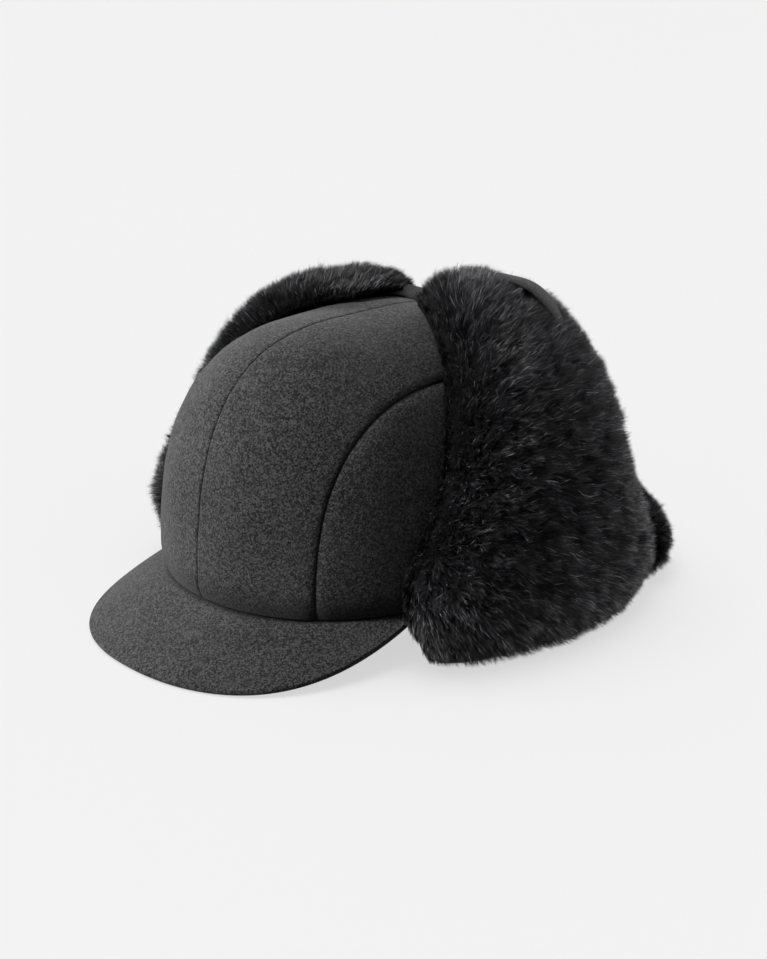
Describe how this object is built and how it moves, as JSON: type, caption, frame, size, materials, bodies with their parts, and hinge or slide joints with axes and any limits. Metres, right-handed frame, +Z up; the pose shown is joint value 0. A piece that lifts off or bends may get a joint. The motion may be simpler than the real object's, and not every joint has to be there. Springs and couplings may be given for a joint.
{
  "type": "ushanka cap with a peak",
  "caption": "Felted wool winter cap with a short curved peak and deep faux fur ear and neck flaps, turned up and strapped over the crown.",
  "frame": {"origin": "middle of the ground the hat covers, on the surface it stands on", "axes": "+Z up, +X to the wearer's left, +Y to the back of the hat, so the peak points along -Y"},
  "size_m": [0.2466, 0.3124, 0.1707],
  "materials": {
    "wool": "felted wool melton, charcoal, matt with a fine heathered nap",
    "peak_wool": "the same felted wool over a stiff peak",
    "strap": "dark grey woven strap, matt",
    "fur": "deep black faux fur, soft sheen"
  },
  "bodies": {
    "root": {"crown_top_left": "wool", "crown_top_right": "wool", "crown_side_left": "wool", "crown_side_right": "wool", "peak": "peak_wool", "top_strap": "strap", "ear_flap_left": "fur", "ear_flap_right": "fur", "neck_flap": "fur"}
  },
  "joints": []
}
